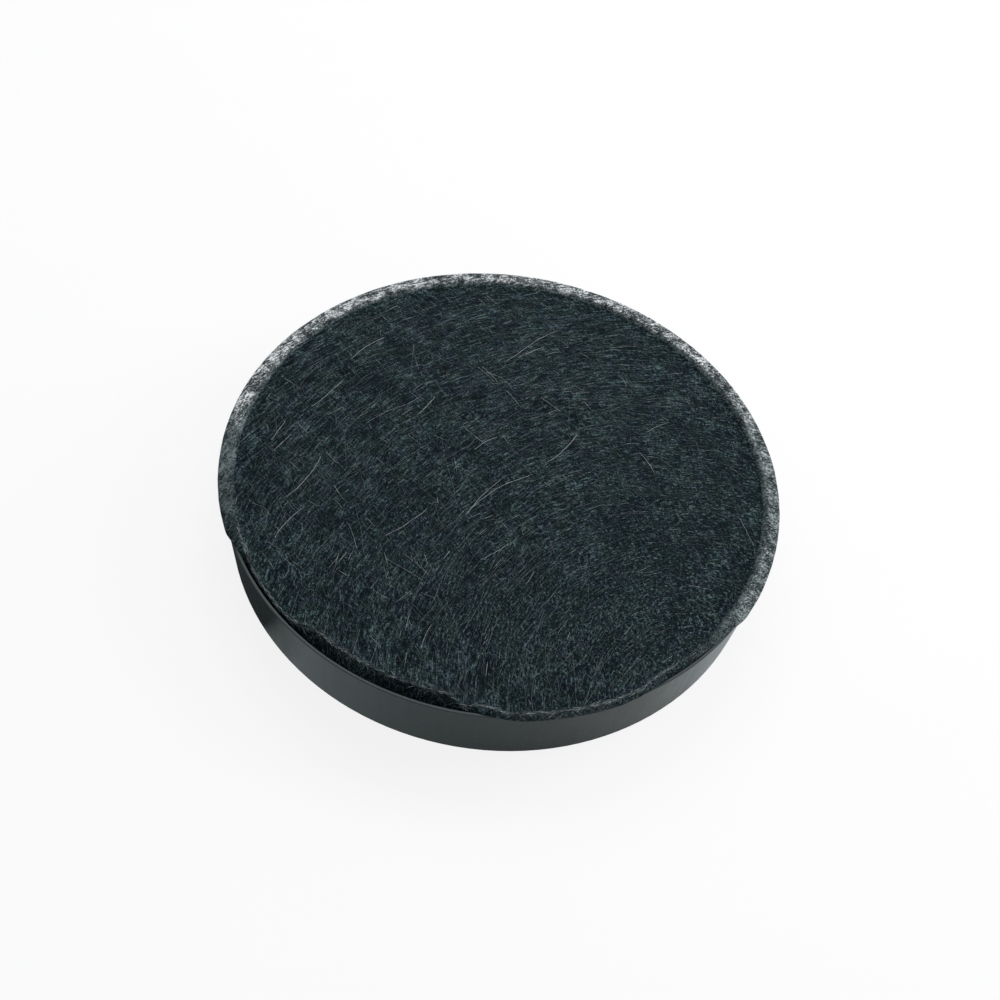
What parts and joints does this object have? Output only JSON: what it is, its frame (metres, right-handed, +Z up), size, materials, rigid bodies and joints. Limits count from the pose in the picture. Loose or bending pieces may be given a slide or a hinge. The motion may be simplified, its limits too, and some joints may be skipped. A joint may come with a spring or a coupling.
{
  "type": "cooker hood carbon filter",
  "caption": "Round charcoal filter for a cooker hood: moulded tray with grille floor and bayonet socket, charcoal bed, and felt cover with a pressed rim over the lip.",
  "frame": {"origin": "middle of the foot plane, where the bayonet socket opens", "axes": "+Z up along the filter's axis, towards the felt; -Y towards the front, where the rim is tucked in"},
  "size_m": [0.24, 0.2384, 0.0334],
  "materials": {
    "tray": "satin moulded black plastic",
    "fleece": "thin needled fleece, matt",
    "charcoal": "loose charcoal granules, matt with small glints",
    "felt": "needled felt, with a hot-pressed silvery rim"
  },
  "bodies": {
    "root": {"tray": "tray", "lower_fleece": "fleece", "carbon_bed": "charcoal", "felt_cover": "felt"}
  },
  "joints": []
}
